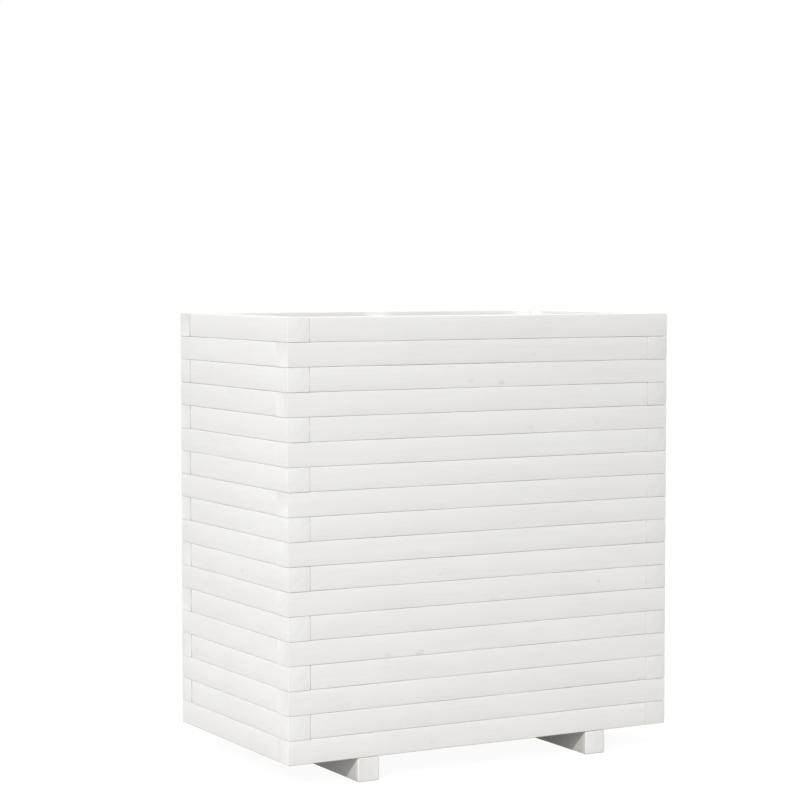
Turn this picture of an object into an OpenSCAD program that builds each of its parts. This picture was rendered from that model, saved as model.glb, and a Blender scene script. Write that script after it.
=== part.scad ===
// Planter of square timber bars. The bars lie in courses, one above the other, and
// their ends interlock at the corners like the logs of a cabin. Posts and battens
// inside tie the courses together with screws, and two feet carry a boarded floor.
//
// Millimetres, +Z up. The origin is on the ground, under the middle of the planter.
// X runs along the long walls and the front faces -Y.

/* [Walls] */
// Length over the long walls
planter_w = 700; // [480:5:1200]
// Depth over the short walls
planter_d = 400; // [340:5:800]
// Number of courses of bars
courses = 18; // [6:1:19]
// Thickness of a wall bar, from its outer face to its inner face
bar_t = 38; // [30:0.5:60]
// Height of a wall bar, which is also the height of a course
bar_h = 38; // [30:0.5:60]
// Play at the butted end of a bar, where it meets the side of the crossing bar
butt_play = 0.1; // [0.05:0.05:0.4]
// Radius of the eased long edges of every timber
arris_r = 1; // [0.5:0.25:3]

/* [Feet] */
// Width of a foot along X
foot_w = 38; // [30:0.5:90]
// Height of a foot
foot_h = 38; // [30:0.5:80]
// Distance from the end of the planter to the outer side of a foot
foot_inset = 120; // [80:1:180]

/* [Uprights] */
// Side of a square corner post
post_w = 38; // [30:0.5:60]
// Width of the batten at the middle of a long wall
batten_w = 38; // [30:0.5:90]
// Thickness of that batten
batten_t = 18; // [15:0.5:35]
// Distance from the rim down to the top of the posts and battens
upright_drop = 10; // [8:0.5:14]

/* [Floor] */
// Number of floor boards
board_count = 5; // [2:1:8]
// Thickness of a floor board
board_t = 18; // [15:0.5:35]
// Drain gap between two boards
drain_gap = 6; // [3:0.5:15]
// Play between the floor and what stands round it
board_play = 1; // [0.3:0.1:3]

/* [Screws] */
// Diameter of a screw's shank
shank_d = 4; // [3:0.1:4.5]
// Diameter of its countersunk head
head_d = 8; // [6:0.1:9]
// Height of the head's cone
head_h = 3; // [2:0.1:5]
// Length of the point
point_h = 6; // [3:0.5:9]
// How far a screw reaches into the timber that it pulls tight
bite = 22; // [15:0.5:26]
// How far a head lies below the face of its timber
head_sink = 0.5; // [0.2:0.1:1.5]
// Clearance round a screw in its hole
hole_play = 0.05; // [0.03:0.01:0.1]

/* [Hidden] */
paint = [0.93, 0.93, 0.92];
zinc = [0.74, 0.74, 0.71];
arris_fn = 32;
screw_fn = 32;
// How far a cutting tool reaches past the face that it opens
over = 1;

body_bottom = foot_h;
upright_h = courses * bar_h - upright_drop;
// The corner where the inner faces of two walls meet
inner_x = planter_w / 2 - bar_t;
inner_y = planter_d / 2 - bar_t;
// The middle of a post, of a foot and of a long wall's bar
post_x = inner_x - post_w / 2;
post_y = inner_y - post_w / 2;
foot_x = planter_w / 2 - foot_inset - foot_w / 2;
bar_y = inner_y + bar_t / 2;
board_l = 2 * (inner_x - board_play);
floor_d = 2 * (inner_y - board_play);
board_w = (floor_d - (board_count - 1) * drain_gap) / board_count;
floor_top = body_bottom + board_t;
// Screws into long and short walls cross in a post, so each has a level of its own in
// every course: the part of the rim course beside the post is split in three.
level_step = (bar_h - upright_drop) / 3;
short_wall_level = level_step;
long_wall_level = 2 * level_step;

// Name, and turn about the origin that brings the front left one to it
LONG_SIDES = [["front", 0], ["back", 180]];
SHORT_SIDES = [["left", 0], ["right", 180]];
// Name, and side of the origin in X and in Y
CORNERS = [["front_left", -1, -1], ["front_right", 1, -1], ["back_left", -1, 1], ["back_right", 1, 1]];
FEET = [["left", -1], ["right", 1]];

function two_digits(n) = n < 10 ? str("0", n) : str(n);
function long_bars_name(n) = str("course_", two_digits(n), "_long_bars");
function short_bars_name(n) = str("course_", two_digits(n), "_short_bars");
function board_name(i) = str("floor_board_", i);

// Underside of course n, counted from the bottom
function course_z(n) = body_bottom + (n - 1) * bar_h;

// In the rim course, and in every second one below it, the short wall's bar runs
// through to the front left corner and the long wall's bar butts against it.
function short_bar_runs_through(n) = (courses - n) % 2 == 0;

// ---- timber ----

// A rectangle with rounded corners, from the origin to (w, h)
module eased_section(w, h) {
    translate([arris_r, 0]) square([w - 2 * arris_r, h]);
    translate([0, arris_r]) square([w, h - 2 * arris_r]);
    for (x = [arris_r, w - arris_r])
        for (y = [arris_r, h - arris_r])
            translate([x, y]) circle(arris_r, $fn = arris_fn);
}

// Timbers with eased long edges, each from the origin into +X, +Y and +Z
module timber_along_x(length, depth, height) {
    rotate([90, 0, 90])
        linear_extrude(length)
            eased_section(depth, height);
}

module timber_along_y(width, length, height) {
    translate([0, length, 0])
        rotate([90, 0, 0])
            linear_extrude(length)
                eased_section(width, height);
}

module timber_along_z(width, depth, length) {
    linear_extrude(length)
        eased_section(width, depth);
}

// ---- screws ----

// Half of a countersunk screw's outline, its head at the bottom and its point up.
// grow widens it all round, and mouth lengthens the head's end, for a hole.
function screw_outline(length, grow, mouth) = [
    [0, -mouth],
    [head_d / 2 + grow, -mouth],
    [head_d / 2 + grow, 0],
    [shank_d / 2 + grow, head_h],
    [shank_d / 2 + grow, length - point_h],
    [0, length + 2 * grow]
];

// A screw driven along +Z whose head lies below z = 0, where its timber starts
module screw(thickness) {
    translate([0, 0, head_sink])
        rotate_extrude($fn = screw_fn)
            polygon(screw_outline(thickness + bite - head_sink, 0, 0));
}

// The hole that it makes
module screw_hole(thickness) {
    translate([0, 0, head_sink])
        rotate_extrude($fn = screw_fn)
            polygon(screw_outline(thickness + bite - head_sink, hole_play, head_sink + over));
}

// Places for a child that points along +Z. The places in a wall are those of the front
// wall and of the left wall, and a half turn brings them to the back and right walls.

module at_long_wall_post(n, side) {
    translate([side * post_x, post_w - inner_y, course_z(n) + long_wall_level])
        rotate([90, 0, 0])
            children();
}

module at_batten(n) {
    translate([0, batten_t - inner_y, course_z(n) + long_wall_level])
        rotate([90, 0, 0])
            children();
}

module at_short_wall_post(n, side) {
    translate([post_w - inner_x, side * post_y, course_z(n) + short_wall_level])
        rotate([0, -90, 0])
            children();
}

module at_floor_board(i, side) {
    translate([side * foot_x, board_y(i) + board_w / 2, floor_top])
        rotate([180, 0, 0])
            children();
}

module at_foot(side, end) {
    translate([side * foot_x, end * bar_y, 0])
        children();
}

module on_both_sides() {
    for (turn = [0, 180])
        rotate(turn)
            children();
}

// ---- walls ----

// The front and back bars of course n
module long_bars(n) {
    bar_l = planter_w - bar_t - butt_play;
    left_end = short_bar_runs_through(n) ? planter_w / 2 - bar_l : -planter_w / 2;
    color(paint)
        on_both_sides()
            difference() {
                translate([left_end, -planter_d / 2, course_z(n)])
                    timber_along_x(bar_l, bar_t, bar_h);
                for (side = [-1, 1])
                    at_long_wall_post(n, side) screw_hole(post_w);
                at_batten(n) screw_hole(batten_t);
                if (n == 1)
                    for (side = [-1, 1])
                        at_foot(side, -1) screw_hole(foot_h);
            }
}

// The left and right bars of course n
module short_bars(n) {
    bar_l = planter_d - bar_t - butt_play;
    front_end = short_bar_runs_through(n) ? -planter_d / 2 : planter_d / 2 - bar_l;
    color(paint)
        on_both_sides()
            difference() {
                translate([-planter_w / 2, front_end, course_z(n)])
                    timber_along_y(bar_t, bar_l, bar_h);
                for (side = [-1, 1])
                    at_short_wall_post(n, side) screw_hole(post_w);
            }
}

// ---- uprights ----

module post(side_x, side_y) {
    color(paint)
        difference() {
            translate([side_x * post_x - post_w / 2, side_y * post_y - post_w / 2, body_bottom])
                timber_along_z(post_w, post_w, upright_h);
            for (n = [1:courses]) {
                rotate(side_y < 0 ? 0 : 180)
                    at_long_wall_post(n, -side_x * side_y) screw_hole(post_w);
                rotate(side_x < 0 ? 0 : 180)
                    at_short_wall_post(n, -side_x * side_y) screw_hole(post_w);
            }
        }
}

// The batten at the middle of the front wall, or of the back wall after a half turn
module batten(turn) {
    color(paint)
        rotate(turn)
            difference() {
                translate([-batten_w / 2, -inner_y, body_bottom])
                    timber_along_z(batten_w, batten_t, upright_h);
                for (n = [1:courses])
                    at_batten(n) screw_hole(batten_t);
            }
}

// ---- floor and feet ----

// Front edge of floor board i, counted from the front
function board_y(i) = -floor_d / 2 + (i - 1) * (board_w + drain_gap);

// What the floor boards are notched round: the uprights with their play
module floor_notches() {
    notch_h = board_t + 2 * over;
    for (c = CORNERS)
        translate([c[1] * inner_x, c[2] * inner_y, floor_top - board_t / 2])
            cube([2 * (post_w + board_play), 2 * (post_w + board_play), notch_h], center = true);
    for (side = [-1, 1])
        translate([0, side * inner_y, floor_top - board_t / 2])
            cube([batten_w + 2 * board_play, 2 * (batten_t + board_play), notch_h], center = true);
}

module floor_board(i) {
    color(paint)
        difference() {
            translate([-board_l / 2, board_y(i), body_bottom])
                timber_along_x(board_l, board_w, board_t);
            floor_notches();
            for (side = [-1, 1])
                at_floor_board(i, side) screw_hole(board_t);
        }
}

module foot(side) {
    color(paint)
        difference() {
            translate([side * foot_x - foot_w / 2, -planter_d / 2, 0])
                timber_along_y(foot_w, planter_d, foot_h);
            for (i = [1:board_count])
                at_floor_board(i, side) screw_hole(board_t);
            for (end = [-1, 1])
                at_foot(side, end) screw_hole(foot_h);
        }
}

// ---- sets of screws ----

module long_wall_post_screws(turn) {
    color(zinc)
        rotate(turn)
            for (n = [1:courses])
                for (side = [-1, 1])
                    at_long_wall_post(n, side) screw(post_w);
}

module long_wall_batten_screws(turn) {
    color(zinc)
        rotate(turn)
            for (n = [1:courses])
                at_batten(n) screw(batten_t);
}

module short_wall_post_screws(turn) {
    color(zinc)
        rotate(turn)
            for (n = [1:courses])
                for (side = [-1, 1])
                    at_short_wall_post(n, side) screw(post_w);
}

module floor_screws() {
    color(zinc)
        for (i = [1:board_count])
            for (side = [-1, 1])
                at_floor_board(i, side) screw(board_t);
}

module foot_screws() {
    color(zinc)
        for (side = [-1, 1])
            for (end = [-1, 1])
                at_foot(side, end) screw(foot_h);
}

// ---- the planter ----

for (n = [1:courses]) {
    long_bars(n);
    short_bars(n);
}
for (c = CORNERS)
    post(c[1], c[2]);
for (s = LONG_SIDES) {
    batten(s[1]);
    long_wall_post_screws(s[1]);
    long_wall_batten_screws(s[1]);
}
for (s = SHORT_SIDES)
    short_wall_post_screws(s[1]);
for (i = [1:board_count])
    floor_board(i);
for (f = FEET)
    foot(f[1]);
floor_screws();
foot_screws();
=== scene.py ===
# %% [markdown]
# # A planter of square bars
#
# The object is an open box for a terrace, as tall as a low cupboard. Its walls are square
# pine bars laid in courses, and the bars interlock at the corners like the logs of a cabin.
# The whole thing is painted white. The construction is already settled: the frame that
# is loaded here holds every timber and every screw at its real size and place. What is
# left for Blender is how the real bars look: planed faces that are never quite flat,
# long edges that were eased before painting, end grain that shows through the paint,
# and joints that are tight in one place and open by a hair in another.

# %% Load the frame
import math
import random

import bmesh
import bpy
from mathutils import Matrix, Vector, noise


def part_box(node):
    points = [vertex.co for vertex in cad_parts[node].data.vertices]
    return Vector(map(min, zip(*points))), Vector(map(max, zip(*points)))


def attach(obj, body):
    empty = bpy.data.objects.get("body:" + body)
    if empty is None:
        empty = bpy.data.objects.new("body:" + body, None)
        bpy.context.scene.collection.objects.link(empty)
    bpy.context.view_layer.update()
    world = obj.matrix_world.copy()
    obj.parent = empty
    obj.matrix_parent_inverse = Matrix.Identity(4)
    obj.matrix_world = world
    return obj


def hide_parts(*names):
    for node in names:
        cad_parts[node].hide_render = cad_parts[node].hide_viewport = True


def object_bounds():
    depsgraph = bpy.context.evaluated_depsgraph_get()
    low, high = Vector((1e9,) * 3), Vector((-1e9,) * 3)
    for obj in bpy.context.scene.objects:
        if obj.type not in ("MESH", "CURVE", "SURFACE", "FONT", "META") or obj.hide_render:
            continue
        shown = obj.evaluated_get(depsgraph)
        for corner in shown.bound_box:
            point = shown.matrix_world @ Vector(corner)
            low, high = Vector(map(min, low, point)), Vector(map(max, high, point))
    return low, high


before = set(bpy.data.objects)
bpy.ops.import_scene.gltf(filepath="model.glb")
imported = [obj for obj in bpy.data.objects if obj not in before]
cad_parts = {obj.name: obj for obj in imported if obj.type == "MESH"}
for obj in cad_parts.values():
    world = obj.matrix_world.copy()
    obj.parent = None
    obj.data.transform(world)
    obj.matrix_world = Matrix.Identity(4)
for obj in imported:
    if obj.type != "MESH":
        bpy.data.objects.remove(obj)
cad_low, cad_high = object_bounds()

print("The frame is", [round(side, 4) for side in cad_high - cad_low], "m")

# %% [markdown]
# ## Sizes come from the frame
#
# Blender works in metres and the frame stands where the finished planter stands, with
# the ground at z = 0. So no size of a bar is typed in here. It is read from the boxes
# of the timbers, and the notebook still fits if the frame is made wider or higher.

# %% Read the sizes of the walls
MM = 0.001
half_width = cad_high.x
half_depth = cad_high.y
first_bar_low, first_bar_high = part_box("course_01_long_bars")
post_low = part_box("front_left_post")[0]
body_bottom = first_bar_low.z
bar_height = first_bar_high.z - first_bar_low.z
bar_depth = post_low.y + half_depth
course_count = sum(1 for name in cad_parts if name.endswith("_long_bars"))
print(course_count, "courses of bars,",
      round(bar_depth / MM, 1), "x", round(bar_height / MM, 1), "mm")

# %% [markdown]
# ## The camera
#
# The picture to match was taken from the front left, from a little above the rim. The
# place, turn and tilt below are those at which the corners of a box of this size fall on
# the corners in that picture, found by least squares. The long lens keeps the courses
# almost parallel. The camera is tilted and its lens isn't shifted, so that any other
# view of the planter stays centred as well.

# %% Place the camera
CAMERA_PLACE = (-1.887, -3.312, 0.793)
CAMERA_TURN = math.radians(29.09)    # from +Y towards +X
CAMERA_TILT = math.radians(3.23)     # downwards
CAMERA_LENS = 103.5                  # millimetres, as the sensor's width is
SENSOR_WIDTH = 36
MIDDLE = Vector((0, 0, 0.4))         # about the middle of the planter

camera_data = bpy.data.cameras.new("camera")
camera_data.sensor_width = SENSOR_WIDTH
camera_data.lens = CAMERA_LENS
camera = bpy.data.objects.new("camera", camera_data)
camera.location = CAMERA_PLACE
camera.rotation_euler = (math.radians(90) - CAMERA_TILT, 0, -CAMERA_TURN)
bpy.context.collection.objects.link(camera)
bpy.context.scene.camera = camera
print("The camera stands", round((camera.location - MIDDLE).length, 2), "m from the planter")

# %% [markdown]
# ## Lamps
#
# One lamp stands far off at the front left. It is small, because the edge of the shadow
# on the side of each foot is crisp, and that edge slopes as it would for light that falls
# about 42 degrees downwards as seen from the side. A tall strip of light stands nearer,
# off the front left corner: both walls are brightest there and fade by a few hundredths
# towards their far ends, the same at the rim as at the feet. A lamp behind only helps in
# views from the back. The last one lies flat under the planter, where no real lamp would
# fit. It stands for the light that a white floor scatters in there many times over, and
# keeps the sides of the feet from going black.

# %% Set up the lamps
KEY_DIRECTION = Vector((-0.40, -0.33, 0.30)).normalized()    # towards the lamp
KEY_DISTANCE = 20
KEY_SIZE = 0.6
KEY_POWER = 1710
STRIP_PLACE = Vector((-1.9, -1.6, 1.1))
STRIP_SIZE = (0.5, 1.4)
STRIP_POWER = 10.5
BACK_PLACE = Vector((2.2, 2.9, 1.4))
BACK_SIZE = 1.6
BACK_POWER = 18
UNDER_PLACE = Vector((0, 0, MM))
UNDER_SHARE = 0.9         # of the planter's width and of its depth
UNDER_SIZE = (UNDER_SHARE * 2 * half_width, UNDER_SHARE * 2 * half_depth)
UNDER_GLOW = 0.115        # how bright the lamp's face is, where 1 is white


def area_lamp(name, shape, size, place, target, power):
    """A flat lamp at place that faces target; size is its width and its height."""
    data = bpy.data.lights.new(name, "AREA")
    data.shape = shape
    data.size, data.size_y = size
    data.energy = power
    lamp = bpy.data.objects.new(name, data)
    lamp.location = place
    lamp.rotation_euler = (place - target).to_track_quat("Z", "Y").to_euler()
    lamp.visible_camera = False
    bpy.context.collection.objects.link(lamp)
    return lamp


key_place = MIDDLE + KEY_DIRECTION * KEY_DISTANCE
key_lamp = area_lamp("key_lamp", "DISK", (KEY_SIZE, KEY_SIZE), key_place, MIDDLE, KEY_POWER)
strip_target = Vector((0, 0, STRIP_PLACE.z))
area_lamp("strip_lamp", "RECTANGLE", STRIP_SIZE, STRIP_PLACE, strip_target, STRIP_POWER)
area_lamp("back_lamp", "DISK", (BACK_SIZE, BACK_SIZE), BACK_PLACE, MIDDLE, BACK_POWER)
under_power = UNDER_GLOW * math.pi * UNDER_SIZE[0] * UNDER_SIZE[1]
area_lamp("under_lamp", "RECTANGLE", UNDER_SIZE, UNDER_PLACE, MIDDLE, under_power)
print("The far lamp stands at", [round(place, 2) for place in key_lamp.location])
print("The lamp under the planter needs only", round(under_power, 3), "W")

# %% [markdown]
# ## A few helpers for node trees
#
# A material in Blender is a graph of nodes, and so is the sky. Small helpers keep the
# cells that follow readable. One starts an empty material, one adds a node, and one
# either plugs a socket in or writes a number on it. The others stand for nodes that come
# up often: a sum or product, a range that is carried over to another one, a mix of two
# colours, and two ways to work with a place in space.

# %% Helpers for node trees
def new_material(name):
    """An empty material with its output node."""
    material = bpy.data.materials.new(name)
    material.use_nodes = True
    material.node_tree.nodes.clear()
    output = material.node_tree.nodes.new("ShaderNodeOutputMaterial")
    return material, material.node_tree, output


def feed(tree, socket, value):
    """Plugs value into socket if it is a socket, and else writes it there."""
    if isinstance(value, bpy.types.NodeSocket):
        tree.links.new(value, socket)
    else:
        socket.default_value = value


def add(tree, kind, inputs=(), **settings):
    """A new node of that kind, with its settings and its inputs given by name or number."""
    node = tree.nodes.new("ShaderNode" + kind)
    for setting, value in settings.items():
        setattr(node, setting, value)
    for socket, value in dict(inputs).items():
        feed(tree, node.inputs[socket], value)
    return node


def calc(tree, operation, first, second=0.0):
    """The result of one sum, product or other operation."""
    return add(tree, "Math", {0: first, 1: second}, operation=operation).outputs[0]


def remap(tree, value, start, end, low=0.0, high=1.0, **settings):
    """Low where value is start, high where it is end, and in between otherwise."""
    inputs = {0: value, 1: start, 2: end, 3: low, 4: high}
    return add(tree, "MapRange", inputs, **settings).outputs[0]


def mix_colours(tree, share, first, second, **settings):
    """The first colour where share is 0, and the second where it is 1."""
    inputs = {"Factor": share, "A": first, "B": second}
    return add(tree, "Mix", inputs, data_type="RGBA", **settings).outputs["Result"]


def stretched(tree, place, factors):
    """A place with each of its three numbers multiplied."""
    return add(tree, "VectorMath", {0: place, 1: factors}, operation="MULTIPLY").outputs[0]


def length_of(tree, way):
    """How long a way in space is."""
    return add(tree, "VectorMath", {0: way}, operation="LENGTH").outputs["Value"]


print("The helpers for node trees are ready")

# %% [markdown]
# ## The sky
#
# Most of the soft light comes from a sky that grows brighter towards the top, and a
# little brighter again towards the front left. The camera doesn't see this sky. In its
# place it sees an even white, and so does a mirror or a sheet of glass.

# %% Set up the sky
WHITE = (1, 1, 1, 1)
SKY_TOP = 0.97
SKY_HORIZON = 0.51
SIDE_DIRECTION = Vector((-0.60, -0.45, 0.66)).normalized()
SIDE_START = 0.3          # cosine of the angle from there at which the extra glow begins
SIDE_GLOW = 0.12


def seen_directly(tree):
    """1 for what the camera sees, also in a mirror or through glass, and else 0."""
    path = add(tree, "LightPath")
    first = calc(tree, "MAXIMUM", path.outputs["Is Camera Ray"], path.outputs["Is Glossy Ray"])
    return calc(tree, "MAXIMUM", first, path.outputs["Is Transmission Ray"])


world = bpy.data.worlds.new("studio")
bpy.context.scene.world = world
world.use_nodes = True
sky = world.node_tree
sky.nodes.clear()
direction = add(sky, "TexCoord").outputs["Generated"]
height = add(sky, "SeparateXYZ", {0: direction}).outputs["Z"]
top_glow = remap(sky, height, 0.0, 1.0, SKY_HORIZON, SKY_TOP)
towards = add(sky, "VectorMath", {0: direction, 1: SIDE_DIRECTION}, operation="DOT_PRODUCT")
side_glow = remap(sky, towards.outputs["Value"], SIDE_START, 1.0, 0.0, SIDE_GLOW)
glow = calc(sky, "ADD", top_glow, side_glow)
lit = add(sky, "Background", {"Color": WHITE, "Strength": glow})
backdrop = add(sky, "Background", {"Color": WHITE, "Strength": 1.0})
shares = {0: seen_directly(sky), 1: lit.outputs[0], 2: backdrop.outputs[0]}
feed(sky, add(sky, "OutputWorld").inputs["Surface"], add(sky, "MixShader", shares).outputs[0])
print("The sky has", len(sky.nodes), "nodes")

# %% [markdown]
# ## The finish of the floor
#
# The floor is a pale sheet that throws soft light back up under the planter. It is
# palest near the planter, so the lowest courses get back what they lose to the lamps.
# The camera sees the floor in another way: a steady white glow does most of the work
# there, and a faint diffuse part on top keeps the planter's shadow. The glow reaches the
# camera only, so it puts no light on the object. From below the sheet is clear, so that
# the underside of the planter can be looked at.

# %% Mix the finish of the floor
FLOOR_NEAR = (0.48, 0.475, 0.463, 1)
FLOOR_FAR = (0.29, 0.287, 0.28, 1)
FADE_START = 0.6          # metres from the middle of the planter
FADE_END = 2.2
FLOOR_SHADOW = (0.08, 0.08, 0.08, 1)
FLOOR_GLOW = 0.945

floor_finish, tree, output = new_material("floor")
reach = length_of(tree, add(tree, "TexCoord").outputs["Object"])
fade = remap(tree, reach, FADE_START, FADE_END, interpolation_type="SMOOTHSTEP")
bounce = add(tree, "BsdfDiffuse", {"Color": mix_colours(tree, fade, FLOOR_NEAR, FLOOR_FAR)})
shadow = add(tree, "BsdfDiffuse", {"Color": FLOOR_SHADOW})
white = add(tree, "Emission", {"Color": WHITE, "Strength": FLOOR_GLOW})
shown = add(tree, "AddShader", {0: shadow.outputs[0], 1: white.outputs[0]})
seen = add(tree, "LightPath").outputs["Is Camera Ray"]
above = add(tree, "MixShader", {0: seen, 1: bounce.outputs[0], 2: shown.outputs[0]})
below = calc(tree, "MULTIPLY", seen, add(tree, "NewGeometry").outputs["Backfacing"])
clear = add(tree, "BsdfTransparent")
either = add(tree, "MixShader", {0: below, 1: above.outputs[0], 2: clear.outputs[0]})
feed(tree, output.inputs["Surface"], either.outputs[0])
print("The finish of the floor has", len(tree.nodes), "nodes")

# %% [markdown]
# ## The floor and its windows
#
# The feet stand on the floor, and a face that lies flat on a sheet would be black in a
# view from below. So the sheet gets a window under each foot. A grid of one face is cut
# along the edges of the feet by planes, and the cells under the feet are deleted.

# %% Lay the floor
FLOOR_SIDE = 30
WINDOW_EDGE = 2 * MM      # a window ends this far inside the edge of its foot

bm = bmesh.new()
bmesh.ops.create_grid(bm, x_segments=1, y_segments=1, size=FLOOR_SIDE / 2)
feet = [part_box("left_foot"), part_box("right_foot")]
for axis, across in ((0, (1, 0, 0)), (1, (0, 1, 0))):
    cuts = {round(low[axis] + WINDOW_EDGE, 6) for low, high in feet}
    cuts |= {round(high[axis] - WINDOW_EDGE, 6) for low, high in feet}
    for cut in sorted(cuts):
        every = bm.verts[:] + bm.edges[:] + bm.faces[:]
        bmesh.ops.bisect_plane(bm, geom=every, plane_co=Vector(across) * cut, plane_no=across)
middles = {face: face.calc_center_median() for face in bm.faces}
windows = [face for face, middle in middles.items() if any(
    low.x < middle.x < high.x and low.y < middle.y < high.y for low, high in feet)]
bmesh.ops.delete(bm, geom=windows, context="FACES")
floor_mesh = bpy.data.meshes.new("floor")
bm.to_mesh(floor_mesh)
bm.free()
floor_mesh.materials.append(floor_finish)
floor = bpy.data.objects.new("floor", floor_mesh)
bpy.context.collection.objects.link(floor)
print("The floor is", FLOOR_SIDE, "m wide and has", len(windows), "windows")

# %% [markdown]
# ## Rings and streaks
#
# Paint hides the colour of pine but not its grain. The soft rings drink more paint than
# the hard ones, so a planed face keeps long pale streaks and the end of a bar keeps arcs
# of rings. One pattern does both, because it works in the bar's own coordinates: along
# the bar, and across it from the pith, the middle of the tree. Distance from the pith
# gives rings that run as streaks on a long face and as arcs on an end, with no seam at
# the edge between them. Noise that is stretched along the grain does the rest. Most of
# its values lie between two limits, which are named here because finishes use them.

# %% Patterns of the grain
RING_BANDS = 130.0                 # broad bands of rings per metre
RING_WANDER = 0.016                # metres between a ring's farthest ways in and out
RING_WANDER_SCALES = (3.0, 14.0)   # patches per metre, along the grain and across it
NOISE_LOW = 0.3                    # most noise lies between these
NOISE_HIGH = 0.7


def noise_at(tree, grain, scales, detail=2.0):
    """Noise with so many patches per metre along the grain, and so many across it."""
    along, across = scales
    place = stretched(tree, grain, (along, across, across))
    return add(tree, "TexNoise", {"Vector": place, "Scale": 1.0, "Detail": detail}).outputs[0]


def centred(tree, value, amount):
    """Noise around zero, as strong as amount says."""
    return calc(tree, "MULTIPLY", calc(tree, "SUBTRACT", value, 0.5), amount)


def ring_pattern(tree, grain, radius):
    """Bands of early and late wood, by the distance from a pith that wanders a little."""
    wander = centred(tree, noise_at(tree, grain, RING_WANDER_SCALES), RING_WANDER)
    place = calc(tree, "MULTIPLY", calc(tree, "ADD", radius, wander), RING_BANDS)
    bands = {"W": place, "Scale": 1.0, "Detail": 3.0}
    return add(tree, "TexNoise", bands, noise_dimensions="1D").outputs[0]


print("A bar has about", round(RING_BANDS * bar_depth), "broad bands of rings across it")

# %% [markdown]
# ## Knots
#
# A knot stays under the paint as a soft shade with a ragged rim and a paler heart. Each
# point of a bar will know its way to the nearest knot, counted in radii of that knot, so
# one small group of nodes draws knots of all sizes. The middle number of the way lies
# across the face, where no point of it is away from the knot, so it is free to make a
# knot faint: it holds the whole shade back, but not the heart.

# %% The shade of a knot
KNOT_EDGE = 1.3                    # radii from its middle where the shade begins
KNOT_FULL = 0.4                    # and where it is full
KNOT_HEART = 0.1                   # radii within which the heart is palest
KNOT_RIM = 0.9                     # and where the shade is full again
HEART_SHADE = 0.4                  # the share of the shade that is left in the heart
KNOT_RAGGEDNESS = 1.4              # radii between the rim's farthest ways in and out
KNOT_EDGE_SCALES = (90.0, 160.0)


def knot_shade(tree, grain):
    """Soft dark of a knot round a paler heart; "knot" is the way to it in knot radii."""
    way = add(tree, "Attribute", attribute_name="knot").outputs["Vector"]
    uneven = centred(tree, noise_at(tree, grain, KNOT_EDGE_SCALES), KNOT_RAGGEDNESS)
    from_knot = calc(tree, "ADD", length_of(tree, way), uneven)
    disc = remap(tree, from_knot, KNOT_EDGE, KNOT_FULL, interpolation_type="SMOOTHSTEP")
    from_heart = calc(tree, "ADD", length_of(tree, stretched(tree, way, (1, 0, 1))), uneven)
    heart = remap(tree, from_heart, KNOT_HEART, KNOT_RIM, low=HEART_SHADE,
                  interpolation_type="SMOOTHSTEP")
    return calc(tree, "MULTIPLY", disc, heart)


print("A knot's heart has", round(100 * HEART_SHADE), "% of its shade")

# %% [markdown]
# ## White paint over pine
#
# The paint is mixed from two whites, one for a thick film and one for a thin film, and
# every pattern says how thin the film looks. End grain drinks most, and more of it the
# farther it is from the pith, so an end shades off to one corner. The points of a bar
# carry a tone of their own as well: it holds each bar's own coat, and painted shade and
# painted light too. Every bar gets another pith and another stretch of the tree, so no
# two are alike.

# %% The paint on the bars
PAINT_THICK = (0.868, 0.866, 0.857, 1)
PAINT_THIN = (0.775, 0.768, 0.750, 1)
MEAN_THINNESS = 0.36               # the share of the second white
STREAK_SCALES = (5.0, 150.0)
DASH_SCALES = (24.0, 620.0)
DASH_START = 0.60                  # the value of the noise at which a dash begins
DASH_FULL = 0.74
CLOUD_SCALES = (7.0, 26.0)
FIBRE_SCALES = (90.0, 2600.0)
# How much each pattern adds to the thinness, on all faces and on the ends
RINGS = 0.40
STREAKS = 0.35
CLOUDS = 0.75
DASHES = 0.26
KNOTS = 1.45
END_SHADE = 1.0
END_RINGS = 0.4
END_CLOUDS = -0.4                  # below zero, because the clouds are fainter there
END_SHADE_START = 0.012            # metres from the pith
END_SHADE_END = 0.062
# How much each pattern adds to the relief; the dashes lie below the rest
FIBRE_RELIEF = 0.5
STREAK_RELIEF = 0.6
DASH_RELIEF = -0.5
RELIEF_DEPTH = 0.0002
RELIEF_STRENGTH = 0.35
PAINT_SMOOTH = 0.58                # roughness, from streak to streak
PAINT_ROUGH = 0.72
PAINT_SHEEN = 0.25                 # how strongly the matt paint mirrors, where 0.5 is usual


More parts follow.
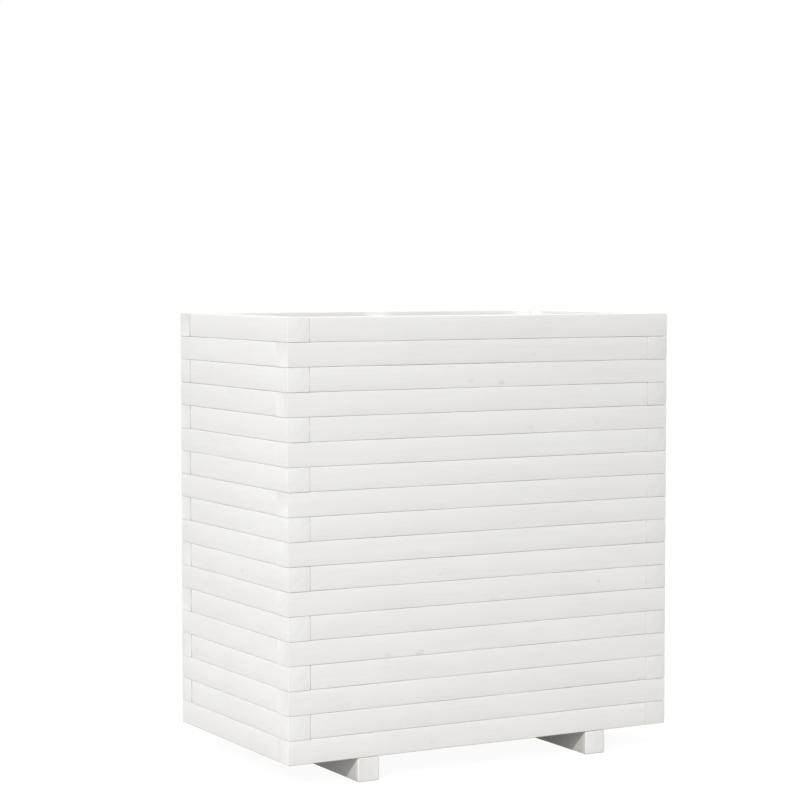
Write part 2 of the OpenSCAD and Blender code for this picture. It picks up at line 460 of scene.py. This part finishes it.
def painted_pine(name, grain_of, is_bar):
    """Matt white paint over pine; grain_of gives the timber's own coordinates."""
    material, tree, output = new_material(name)
    grain = grain_of(tree)
    radius = length_of(tree, stretched(tree, grain, (0, 1, 1)))
    rings = ring_pattern(tree, grain, radius)
    streaks = noise_at(tree, grain, STREAK_SCALES, detail=3.0)
    specks = noise_at(tree, grain, DASH_SCALES, detail=1.0)
    dashes = remap(tree, specks, DASH_START, DASH_FULL)
    clouds = noise_at(tree, grain, CLOUD_SCALES)
    fibres = noise_at(tree, grain, FIBRE_SCALES)

    parts = [
        centred(tree, rings, RINGS),
        centred(tree, streaks, STREAKS),
        centred(tree, clouds, CLOUDS),
        calc(tree, "MULTIPLY", dashes, DASHES),
    ]
    if is_bar:
        end = add(tree, "Attribute", attribute_name="end").outputs["Fac"]
        outward = remap(tree, radius, END_SHADE_START, END_SHADE_END,
                        -END_SHADE / 2, END_SHADE / 2)
        parts += [
            # The tone: each bar's own coat, with painted shade and painted light
            add(tree, "Attribute", attribute_name="tone").outputs["Fac"],
            calc(tree, "MULTIPLY", end, outward),
            calc(tree, "MULTIPLY", end, centred(tree, rings, END_RINGS)),
            calc(tree, "MULTIPLY", end, centred(tree, clouds, END_CLOUDS)),
            calc(tree, "MULTIPLY", knot_shade(tree, grain), KNOTS),
        ]
    thinness = MEAN_THINNESS
    for part in parts:
        thinness = calc(tree, "ADD", thinness, part)
    colour = mix_colours(tree, thinness, PAINT_THICK, PAINT_THIN, clamp_factor=False)

    relief = calc(tree, "ADD", centred(tree, fibres, FIBRE_RELIEF),
                  centred(tree, streaks, STREAK_RELIEF))
    relief = calc(tree, "ADD", relief, calc(tree, "MULTIPLY", dashes, DASH_RELIEF))
    bump = add(tree, "Bump", {
        "Strength": RELIEF_STRENGTH, "Distance": RELIEF_DEPTH, "Height": relief})
    paint = add(tree, "BsdfPrincipled", {
        "Base Color": colour,
        "Roughness": remap(tree, streaks, NOISE_LOW, NOISE_HIGH, PAINT_SMOOTH, PAINT_ROUGH),
        "Specular IOR Level": PAINT_SHEEN,
        "Normal": bump.outputs[0]})
    feed(tree, output.inputs["Surface"], paint.outputs[0])
    return material


def stored_grain(tree):
    """Grain coordinates that the bars carry as an attribute of their points."""
    return add(tree, "Attribute", attribute_name="grain").outputs["Vector"]


bar_paint = painted_pine("white_paint_on_bars", stored_grain, True)
print("The paint has", len(bar_paint.node_tree.nodes), "nodes")

# %% [markdown]
# ## Grain for the timbers inside
#
# The posts, the battens and the floor boards are good as the frame has them: straight
# timbers with eased edges and countersunk holes. They keep their meshes and only get
# the paint. Their grain coordinates come from the object's own space, turned so that
# the grain runs up a post and along a board.

# %% The same paint, by the object's own coordinates
UPRIGHT = (0, math.radians(90), 0)
LEVEL = (0, 0, 0)
UPRIGHT_PITH = (0.3, 0.21, 0.37)
BOARD_PITH = (0.1, 0.05, 0.02)


def object_grain(turn, pith):
    """A reader of object coordinates, turned to the grain and measured from the pith."""
    def read(tree):
        inputs = {
            "Vector": add(tree, "TexCoord").outputs["Object"], "Location": pith, "Rotation": turn}
        return add(tree, "Mapping", inputs).outputs[0]
    return read


def finish_node(name, material):
    """Gives a carried-over node its material."""
    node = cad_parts[name]
    node.data.materials.clear()
    node.data.materials.append(material)


upright_paint = painted_pine("white_paint_on_uprights", object_grain(UPRIGHT, UPRIGHT_PITH), False)
board_paint = painted_pine("white_paint_on_boards", object_grain(LEVEL, BOARD_PITH), False)
uprights = [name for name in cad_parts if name.endswith("_post") or name.endswith("_batten")]
boards = [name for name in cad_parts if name.startswith("floor_board_")]
for name in uprights:
    finish_node(name, upright_paint)
for name in boards:
    finish_node(name, board_paint)
print("Painted", len(uprights), "uprights and", len(boards), "floor boards")

# %% [markdown]
# ## Planed stock
#
# A bar starts as a plain stick. The mill planes it, rounds its long edges by about a
# millimetre, and the saw leaves its ends crisp. In bmesh a cube is scaled to the stick,
# its long edges get one bevel and its ends a finer one. Then the stick is cut into short
# stretches, so that the next step has points to bend. One stick per length is enough.

# %% Make the stock
ARRIS = 1.0 * MM          # radius of an eased long edge
END_ARRIS = 0.45 * MM
STRETCH = 12 * MM         # distance between two rings of points
FACE_STRIPS = 6           # strips across a face that will get a crown
BUTT_PLAY = 0.1 * MM      # a bar's butted end stays this far from the crossing bar


def runs_along(edge, axis):
    """True if an edge runs along that axis."""
    run = edge.verts[1].co - edge.verts[0].co
    return abs(run[axis]) > 0.99 * run.length


def round_edges(bm, edges, radius, segments):
    """Eases those edges."""
    bmesh.ops.bevel(bm, geom=edges, offset=radius, offset_type="OFFSET", segments=segments,
                    profile=0.5, affect="EDGES", clamp_overlap=True, material=-1)


def start_layers(bm):
    """Room on each point for what the paint has to know about it."""
    bm.verts.layers.float_vector.new("grain")
    bm.verts.layers.float_vector.new("knot")
    bm.verts.layers.float.new("tone")
    bm.verts.layers.float.new("end")


def planed_stock(name, length, arris, end_arris):
    """A bar from the origin along +X, with its middle line on the X axis."""
    bm = bmesh.new()
    bmesh.ops.create_cube(bm, size=1)
    bmesh.ops.scale(bm, vec=(length, bar_depth, bar_height), verts=bm.verts)
    bmesh.ops.translate(bm, vec=(length / 2, 0, 0), verts=bm.verts)
    if end_arris == arris:
        round_edges(bm, bm.edges[:], arris, 3)
    else:
        round_edges(bm, [e for e in bm.edges if runs_along(e, 0)], arris, 3)
        round_edges(bm, [e for e in bm.edges if not runs_along(e, 0)], end_arris, 2)
    upright = [e for e in bm.edges if runs_along(e, 2) and e.calc_length() > bar_height / 2]
    bmesh.ops.subdivide_edges(bm, edges=upright, cuts=FACE_STRIPS - 1, use_grid_fill=True)
    lengthwise = [e for e in bm.edges if runs_along(e, 0) and e.calc_length() > length / 2]
    bmesh.ops.subdivide_edges(
        bm, edges=lengthwise, cuts=round(length / STRETCH), use_grid_fill=True)
    start_layers(bm)
    stock = bpy.data.meshes.new(name)
    bm.to_mesh(stock)
    bm.free()
    return stock


long_bar = 2 * half_width - bar_depth - BUTT_PLAY
short_bar = 2 * half_depth - bar_depth - BUTT_PLAY
long_stock = planed_stock("long_stock", long_bar, ARRIS, END_ARRIS)
short_stock = planed_stock("short_stock", short_bar, ARRIS, END_ARRIS)
print("A long bar has", len(long_stock.vertices), "points,",
      "and a short one", len(short_stock.vertices))

# %% [markdown]
# ## Bars are never quite straight
#
# A planed bar cups a little as it dries, so its outer face stands proud by a fraction of
# a millimetre in the middle. That crown, and light painted into the tone of each bar,
# make each course brighter at its top than at its bottom. Its edges wander by a few
# tenths as well: where two neighbours draw back, the joint looks darker. Some butt joints
# stand open by a hair. The points are only ever moved inwards, so the bar stays inside
# the space that it holds in the frame.

# %% Bend one bar
CROWN = 0.55 * MM
WANDER = 0.30 * MM
JOINT_OPENING = 0.60 * MM
EDGE_ZONE = 1.25 * ARRIS  # only points that are nearer than this to a long edge wander
LONG_WAVES = 9            # waves per metre of a long edge
SHORT_WAVES = 31
MEAN_SHARE = 0.5          # of the full wander, and how much each kind of wave adds
LONG_SHARE = 0.6
SHORT_SHARE = 0.3


def draw_back(place, seed, strength):
    """How far an edge draws back at that place along the bar: never below zero."""
    long_wave = noise.noise(Vector((place * LONG_WAVES, seed, 0)))
    short_wave = noise.noise(Vector((place * SHORT_WAVES, seed, 7)))
    return strength * max(0, MEAN_SHARE + LONG_SHARE * long_wave + SHORT_SHARE * short_wave)


def shape_bar(points, seed, butt_opening):
    """Crowns the upright faces, lets the long edges wander and shortens the start."""
    for point in points:
        along = point.co.x
        side = math.copysign(1, point.co.y)
        level = math.copysign(1, point.co.z)
        height = 2 * point.co.z / bar_height
        point.co.y -= side * CROWN * height ** 2
        if abs(height) > 1 - 2 * EDGE_ZONE / bar_height:
            edge_seed = seed + 3 * side + 11 * level
            point.co.y -= side * draw_back(along, edge_seed, WANDER / 2)
            point.co.z -= level * draw_back(along, edge_seed + 40, JOINT_OPENING / 2)
        if along < STRETCH / 2:
            point.co.x += butt_opening


samples = [draw_back(step * STRETCH, 0, JOINT_OPENING) for step in range(50)]
print("Between two edges like this a joint opens by up to", round(max(samples) / MM, 2), "mm")

# %% [markdown]
# ## What the paint knows about a point
#
# Before a bar is carried to its place, its points get their place in the tree, their way
# to the nearest knot, and the tone of the paint. The tone also holds painted shade: inside
# an open butt joint and under the lowest bars, so that the joint and the lowest edge stand
# out as fine dark lines. It holds painted light too: a bar is a little lighter at its top.

# %% Store the grain, the knots and the tone
PITH_NEAR = 0.031         # metres from the middle of a bar to the middle of its tree
PITH_FAR = 0.041
TREE_LENGTH = 40          # each bar is cut from some place along so many metres
SHADE = 0.05              # a bar's coat differs from the mean by up to this much
TOP_PAINTED_LIGHT = 0.09           # painted light: the paint is made this much lighter at the top of a bar
KNOT_ZONE = 22 * MM       # the paint looks for a knot only this near to it
KNOT_STRETCH = 1.6        # how much longer a knot is along the bar than across it
NO_KNOT = (0, 60, 0)      # the way from a point with no knot near it
AT_END = END_ARRIS / 2    # a point that is nearer than this to an end is part of the end
SIDE_SHADE_RAMP = 3 * MM      # a side's painted shade grows to full over this length from its end
PAINTED_JOINT_SHADE = 2.2          # painted shade: the paint is this much darker where another bar butts
PAINTED_UNDER_SHADE = 3.3          # and painted shade on the underside of the lowest bars
LOW_EDGE = 0.75 * ARRIS   # the painted shade of the underside reaches up so far along a lowest bar
END_LOW_EDGE = 0.3 * ARRIS


def way_to_knot(point, knots):
    """From the nearest knot, in knot radii; the middle number makes a knot faint."""
    for along, height, size, faint in knots:
        way = Vector((point.x - along, 0, point.z - height))
        if way.length < KNOT_ZONE:
            return (way.x / (KNOT_STRETCH * size), faint, way.z / size)
    return NO_KNOT


def shade_and_tone(point, length, tones):
    """Mostly painted shade and light: how much darker the paint is; tones names the places that
    differ.
    """
    from_end = min(point.x, length - point.x)
    butted = point.y > bar_depth / 2 - ARRIS / 4 and point.x > length - bar_depth
    low_edge = END_LOW_EDGE if from_end < AT_END else LOW_EDGE
    if "joint" in tones and butted:
        return tones["joint"]
    if "under" in tones and point.z < low_edge - bar_height / 2:
        return tones["under"]
    if from_end < AT_END:
        return tones["end"]
    side_tone = tones.get("side", 0) * min(1, from_end / SIDE_SHADE_RAMP)
    return side_tone - 2 * TOP_PAINTED_LIGHT * point.z / bar_height


def store_grain(bm, points, length, rng, pith_angle, tones, knots):
    """Writes on each point where it lies in the tree, and how its paint looks."""
    grain = bm.verts.layers.float_vector["grain"]
    knot = bm.verts.layers.float_vector["knot"]
    tone = bm.verts.layers.float["tone"]
    end = bm.verts.layers.float["end"]
    distance = rng.uniform(PITH_NEAR, PITH_FAR)
    pith = Vector((-rng.uniform(0, TREE_LENGTH),
                   distance * math.cos(pith_angle), distance * math.sin(pith_angle)))
    shade = rng.uniform(-SHADE, SHADE)
    for point in points:
        point[grain] = point.co - pith
        point[knot] = way_to_knot(point.co, knots)
        point[tone] = shade + shade_and_tone(point.co, length, tones)
        point[end] = 1 if min(point.co.x, length - point.co.x) < AT_END else 0


print("The pith lies", round(PITH_NEAR / MM), "to", round(PITH_FAR / MM), "mm from a bar's middle")

# %% [markdown]
# ## One bar after another
#
# All bars of a node are gathered in one bmesh: each is a copy of the stock that is given
# its grain, bent, and carried to its place. Where no knots are asked for by place, up to
# two are drawn by chance, a small one as likely as a large faint one. A finished bmesh
# becomes the piece that stands for its node of the frame, with normals weighted by the
# size of the faces, so that the flat faces look flat and only the arrises round off.

# %% Add a bar, and keep a piece
# Radius of a knot, and how faint it is
KNOT_KINDS = ((1.5 * MM, 0.4), (2 * MM, 0.6), (4 * MM, 0.8), (8 * MM, 1.0))
KNOT_HEIGHT = 0.35        # a knot's middle is up to this share of a bar from its middle


def any_knots(rng, length):
    """Up to two knots: distance along the bar, height in it, radius and faintness."""
    knots = []
    for third in rng.sample((0, 1, 2), rng.choice((0, 1, 1, 2))):
        size, faint = rng.choice(KNOT_KINDS)
        along = (third + rng.uniform(0.1, 0.9)) * length / 3
        knots.append((along, rng.uniform(-KNOT_HEIGHT, KNOT_HEIGHT) * bar_height, size, faint))
    return knots


def start_bars():
    """An empty bmesh with the layers of the stock."""
    bm = bmesh.new()
    start_layers(bm)
    return bm


def add_bar(bm, stock, length, place, rng, knots, tones, pith_angles=(0, 360), butt_opening=0):
    """Adds a shaped bar to bm and carries it to its place."""
    first = len(bm.verts)
    bm.from_mesh(stock)
    bm.verts.ensure_lookup_table()
    points = bm.verts[first:]
    pith_angle = math.radians(rng.uniform(*pith_angles))
    store_grain(bm, points, length, rng, pith_angle, tones, knots)
    shape_bar(points, rng.uniform(0, 900), butt_opening)
    bmesh.ops.transform(bm, matrix=place, verts=points)


def keep_piece(name, bm, material, node, smooth=True):
    """Turns bm into the piece that stands for a node of the frame."""
    mesh = bpy.data.meshes.new(name)
    bm.to_mesh(mesh)
    bm.free()
    mesh.materials.append(material)
    for face in mesh.polygons:
        face.use_smooth = smooth
    piece = bpy.data.objects.new(name, mesh)
    bpy.context.collection.objects.link(piece)
    if smooth:
        weigh = piece.modifiers.new("even_shading", "WEIGHTED_NORMAL")
        weigh.mode = "FACE_AREA"
        weigh.keep_sharp = True
    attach(piece, "root")
    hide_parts(node)


print("A knot drawn by chance has a radius of",
      KNOT_KINDS[0][0] / MM, "to", KNOT_KINDS[-1][0] / MM, "mm")

# %% [markdown]
# ## Places in the walls
#
# In the rim course, and in every second one below it, the left and right bars run
# through to the front left and back right corners. In the others the front and back
# bars do. Front and left bars are worked out here. The back and right ones are the same
# places after half a turn about the middle of the planter, just as a carpenter would
# turn the box round and go on. The knots that show in the front wall have their own
# places in it, measured from the left end of the planter.

# %% Work out the places
HALF_TURN = Matrix.Rotation(math.radians(180), 4, "Z")
TO_LEFT_WALL = Matrix.Rotation(math.radians(-90), 4, "Z")
# For each course: distance from the left, height above the middle of the bar, radius,
# faintness
FRONT_KNOTS = {
    1: ((0.254, -6 * MM, 4.5 * MM, 0.89),),
    3: ((0.101, -9 * MM, 4 * MM, 0.7),),
    5: ((0.173, -14 * MM, 4 * MM, 0.5), (0.230, -14 * MM, 5 * MM, 0.1)),
    7: ((0.366, -14 * MM, 6 * MM, 0.6), (0.567, 0, 3 * MM, 0.35)),
    8: ((0.265, -8 * MM, 3.5 * MM, 0.55),),
    10: ((0.547, 0, 3 * MM, 0.87),),
    14: ((0.433, -9 * MM, 4 * MM, 0.79), (0.560, -6 * MM, 4 * MM, 0.78)),
    16: ((0.323, -8 * MM, 3 * MM, 0.5), (0.379, -12 * MM, 4 * MM, 0.45)),
    17: ((0.440, -6 * MM, 3.5 * MM, 0.7),),
}


def short_bar_runs_through(course):
    """True for the rim course and every second one below it."""
    return (course_count - course) % 2 == 0


def middle_of_course(course):
    """Height of its middle above the ground."""
    return body_bottom + (course - 0.5) * bar_height


def long_bar_place(course):
    """The place of the front bar."""
    left_end = half_width - long_bar if short_bar_runs_through(course) else -half_width
    return Matrix.Translation((left_end, bar_depth / 2 - half_depth, middle_of_course(course)))


def short_bar_place(course):
    """The place of the left bar."""
    back_end = short_bar - half_depth if short_bar_runs_through(course) else half_depth
    place = Matrix.Translation((bar_depth / 2 - half_width, back_end, middle_of_course(course)))
    return place @ TO_LEFT_WALL


def front_knots(course):
    """The knots that show there, counted from the bar's own end."""
    left_end = long_bar_place(course).translation.x + half_width
    return [(from_left - left_end, *rest) for from_left, *rest in FRONT_KNOTS.get(course, ())]


print("The front wall shows", sum(len(knots) for knots in FRONT_KNOTS.values()), "knots")

# %% [markdown]
# ## Laying the courses
#
# Now the walls go up, two long and two short bars at a time. In the courses whose short
# bars run through, the butt joints stand open by a hair, most of all at the far end of
# the left wall. The coat on the ends differs a little from wall to wall, which is partly
# painted light and shade: the ends of the right wall are painted darkest. As seen from the
# front, the pith of each short bar lies above it to the left. An end shades off from its
# pith, so the lower right corner of those ends is the darkest: painted shade.

# %% Lay the bars
SEED = 18
LONG_OPENING = 0.28 * MM
LEFT_OPENING = 1.00 * MM
RIGHT_OPENING = 0.40 * MM
# How much darker the ends of each wall's bars are painted, partly as painted light and shade
FRONT_END_TONE = 0.0
BACK_END_TONE = -0.15
LEFT_END_TONE = -0.05
RIGHT_END_TONE = 0.24
# Where the pith lies, as seen along the bar: degrees from its left side upwards
# These put painted shade in the lower right corner of each end, as seen from the front
LEFT_PITH = (120, 155)
RIGHT_PITH = (25, 60)

rng = random.Random(SEED)
for course in range(1, course_count + 1):
    is_open = short_bar_runs_through(course)
    # The lowest course gets painted shade on its underside
    under = {"under": PAINTED_UNDER_SHADE} if course == 1 else {}
    node = f"course_{course:02d}_long_bars"
    bm = start_bars()
    place = long_bar_place(course)
    long_opening = LONG_OPENING if is_open else 0
    # The long bars get painted shade where a short bar butts
    front_tones = {"end": FRONT_END_TONE, "joint": PAINTED_JOINT_SHADE, **under}
    back_tones = {"end": BACK_END_TONE, "joint": PAINTED_JOINT_SHADE, **under}
    back_knots = any_knots(rng, long_bar)
    add_bar(bm, long_stock, long_bar, place, rng, front_knots(course), front_tones,
            butt_opening=long_opening)
    add_bar(bm, long_stock, long_bar, HALF_TURN @ place, rng, back_knots, back_tones,
            butt_opening=long_opening)
    keep_piece(f"painted_{node}", bm, bar_paint, node)
    node = f"course_{course:02d}_short_bars"
    bm = start_bars()
    place = short_bar_place(course)
    add_bar(bm, short_stock, short_bar, place, rng, any_knots(rng, short_bar),
            {"end": LEFT_END_TONE, **under}, LEFT_PITH, LEFT_OPENING if is_open else 0)
    add_bar(bm, short_stock, short_bar, HALF_TURN @ place, rng, any_knots(rng, short_bar),
            {"end": RIGHT_END_TONE, **under}, RIGHT_PITH, RIGHT_OPENING if is_open else 0)
    keep_piece(f"painted_{node}", bm, bar_paint, node)
print("Laid", 4 * course_count, "bars")

# %% [markdown]
# ## The feet
#
# A foot is a square bar as well, laid from front to back under the body. It is dragged
# about more, so all its edges are eased by two millimetres. One bevel of all twelve edges
# gives clean round corners, and the edge between the front end and the left side catches
# the lamp as a bright line. The sides of a foot, in the shade under the body, are painted
# darker as painted shade, and only its ends keep the full white.

# %% Make the feet
FOOT_ARRIS = 2.0 * MM
# Painted shade on the sides of a foot, in the shade under the body
FOOT_SIDE_PAINTED_SHADE = 2.0
FOOT_END_TONES = {"left": 0.13, "right": 0.0}

foot_low, foot_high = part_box("left_foot")
foot_length = foot_high.y - foot_low.y
foot_middle = (foot_high.z - foot_low.z) / 2
foot_stock = planed_stock("foot_stock", foot_length, FOOT_ARRIS, FOOT_ARRIS)
for side, end_tone in FOOT_END_TONES.items():
    node = f"{side}_foot"
    low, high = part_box(node)
    place = Matrix.Translation(((low.x + high.x) / 2, high.y, foot_middle)) @ TO_LEFT_WALL
    bm = start_bars()
    add_bar(bm, foot_stock, foot_length, place, rng, any_knots(rng, foot_length),
            {"end": end_tone, "side": FOOT_SIDE_PAINTED_SHADE})
    keep_piece(f"painted_{node}", bm, bar_paint, node)
print("Made", len(FOOT_END_TONES), "feet,", round(foot_length / MM), "mm long")

# %% [markdown]
# ## A screw
#
# The heads of the screws show inside, in rows down each post. They are zinc-plated
# countersunk screws with a cross recess. There are 194, so each has only a few dozen
# faces: the recess is a grid of three by three cells whose cross is pushed down. Its arms
# are just so wide that the grid's twelve outer points lie at equal angles, so they can be
# drawn out to a round rim. The rim is then extruded down its cone, along the shank and
# into the point.

# %% Model one screw
HEAD_RADIUS = 4.0 * MM
HEAD_HEIGHT = 3.0 * MM
SHANK_RADIUS = 2.0 * MM
POINT_LENGTH = 6.0 * MM
RECESS_REACH = 2.3 * MM
RECESS_ARM = RECESS_REACH * math.tan(math.radians(15))    # half the width of an arm
RECESS_DEPTH = 1.7 * MM
RECESS_TAPER = 0.6        # the recess's floor is this share of its mouth
SHORTEST_GAP = 1e-6       # points nearer than this are one


def points_of(parts):
    """The points among the parts that an operator gives back."""
    return [part for part in parts if isinstance(part, bmesh.types.BMVert)]


def screw_stock(length):
    """A screw whose head lies in the plane z = 0 and whose point looks up."""
    bm = bmesh.new()
    bmesh.ops.create_grid(bm, x_segments=3, y_segments=3, size=RECESS_REACH)
    for point in bm.verts:
        for axis in (0, 1):
            if abs(point.co[axis]) < 0.9 * RECESS_REACH:
                point.co[axis] = math.copysign(RECESS_ARM, point.co[axis])
    loop = [e for e in bm.edges if e.is_boundary]
    cross = [f for f in bm.faces
             if min(abs(c) for c in f.calc_center_median()[:2]) < RECESS_ARM / 2]
    sunk = points_of(bmesh.ops.extrude_face_region(bm, geom=cross)["geom"])
    bmesh.ops.delete(bm, geom=cross, context="FACES")
    bmesh.ops.translate(bm, vec=(0, 0, RECESS_DEPTH), verts=sunk)
    bmesh.ops.scale(bm, vec=(RECESS_TAPER, RECESS_TAPER, 1), verts=sunk)
    rim = (HEAD_RADIUS, 0)
    neck = (SHANK_RADIUS, HEAD_HEIGHT)
    shoulder = (SHANK_RADIUS, length - POINT_LENGTH)
    tip = (0, length)
    for radius, height in (rim, neck, shoulder, tip):
        step = bmesh.ops.extrude_edge_only(bm, edges=loop)["geom"]
        loop = [part for part in step if isinstance(part, bmesh.types.BMEdge)]
        for point in points_of(step):
            outward = Vector((point.co.x, point.co.y, 0)).normalized()
            point.co = outward * radius + Vector((0, 0, height))
    bmesh.ops.remove_doubles(bm, verts=bm.verts, dist=SHORTEST_GAP)
    bmesh.ops.recalc_face_normals(bm, faces=bm.faces)
    stock = bpy.data.meshes.new("screw_stock")
    bm.to_mesh(stock)
    bm.free()
    return stock


print("A screw has", len(screw_stock(60 * MM).polygons), "faces")

# %% [markdown]
# ## Finding the screws
#
# The frame already knows where each screw goes. A copy of its mesh falls apart into
# islands, one for each screw, and the box of an island gives the screw's line. Its head
# is at the end where the widest ring of points lies.

# %% Find the screws of a node
def islands(bm):
    """The groups of points that hang together."""
    left = set(bm.verts)
    while left:
        group = {left.pop()}
        border = set(group)
        while border:
            border = {e.other_vert(p) for p in border for e in p.link_edges} - group
            group |= border
        left -= group
        yield group


def screw_line(group):
    """Head, direction and length of the screw that is made of those points."""
    low = Vector([min(p.co[axis] for p in group) for axis in range(3)])
    high = Vector([max(p.co[axis] for p in group) for axis in range(3)])
    size = high - low
    axis = max(range(3), key=lambda a: size[a])
    middle = (low + high) / 2
    across = [a for a in range(3) if a != axis]
    widest = max(group, key=lambda p: math.hypot(*(p.co[a] - middle[a] for a in across)))
    forward = 1 if widest.co[axis] < middle[axis] else -1
    head = middle.copy()
    head[axis] = low[axis] if forward > 0 else high[axis]
    aim = Vector((0, 0, 0))
    aim[axis] = forward
    return head, aim, size[axis]


def screws_of(node):
    """The lines of all screws in a node of the frame, always in the same order."""
    bm = bmesh.new()
    bm.from_mesh(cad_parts[node].data)
    bmesh.ops.remove_doubles(bm, verts=bm.verts, dist=SHORTEST_GAP)
    found = [screw_line(group) for group in islands(bm)]
    bm.free()
    return sorted(found, key=lambda screw: tuple(round(c, 4) for c in screw[0]))


print("The floor is held by", len(screws_of("floor_screws")), "screws")

# %% [markdown]
# ## Zinc plating
#
# Bright zinc on a turned screw isn't a mirror. It is a soft grey metal with a slight
# yellow cast, finely blotched by the bath and brushed by the bit that drove it.

# %% Mix the zinc
ZINC_BRIGHT = (0.74, 0.73, 0.68, 1)
ZINC_DULL = (0.55, 0.55, 0.52, 1)
ZINC_SMOOTH = 0.28        # roughness, from blotch to blotch
ZINC_ROUGH = 0.48
BLOTCHES_PER_METRE = 900.0
SCRATCH_SCALES = (400.0, 6000.0)
SCRATCH_DEPTH = 0.00005
SCRATCH_STRENGTH = 0.3


def zinc_plating():
    """Grey metal, blotched and finely scratched."""
    material, tree, output = new_material("zinc_plating")
    place = add(tree, "TexCoord").outputs["Object"]
    bath = {"Vector": place, "Scale": BLOTCHES_PER_METRE, "Detail": 4.0}
    blotches = add(tree, "TexNoise", bath).outputs[0]
    scratches = noise_at(tree, place, SCRATCH_SCALES)
    bump = add(tree, "Bump", {
        "Strength": SCRATCH_STRENGTH, "Distance": SCRATCH_DEPTH, "Height": scratches})
    metal = add(tree, "BsdfPrincipled", {
        "Base Color": mix_colours(tree, blotches, ZINC_BRIGHT, ZINC_DULL),
        "Metallic": 1.0,
        "Roughness": remap(tree, blotches, NOISE_LOW, NOISE_HIGH, ZINC_SMOOTH, ZINC_ROUGH),
        "Normal": bump.outputs[0]})
    feed(tree, output.inputs["Surface"], metal.outputs[0])
    return material


zinc = zinc_plating()
print("The zinc has", len(zinc.node_tree.nodes), "nodes")

# %% [markdown]
# ## Driving the screws
#
# All screws of a node have one length, so they share one stock. Each is laid on the line
# of the screw that it stands for, and turned by a random angle, as screws are in real
# timber.

# %% Drive the screws
screw_count = 0
for node in sorted(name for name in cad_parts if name.endswith("_screws")):
    screws = screws_of(node)
    stock = screw_stock(screws[0][2])
    bm = bmesh.new()
    for head, aim, length in screws:
        first = len(bm.verts)
        bm.from_mesh(stock)
        bm.verts.ensure_lookup_table()
        spin = Matrix.Rotation(rng.uniform(0, math.pi), 4, "Z")
        turn = aim.to_track_quat("Z", "Y").to_matrix().to_4x4()
        place = Matrix.Translation(head) @ turn @ spin
        bmesh.ops.transform(bm, matrix=place, verts=bm.verts[first:])
    keep_piece(f"zinc_{node}", bm, zinc, node, smooth=False)
    screw_count += len(screws)
print("Drove", screw_count, "screws")

# %% [markdown]
# ## The view transform
#
# The colours are shown with the Standard view transform.

# %% Set the view transform
bpy.context.scene.view_settings.view_transform = "Standard"
print("The view transform is Standard")
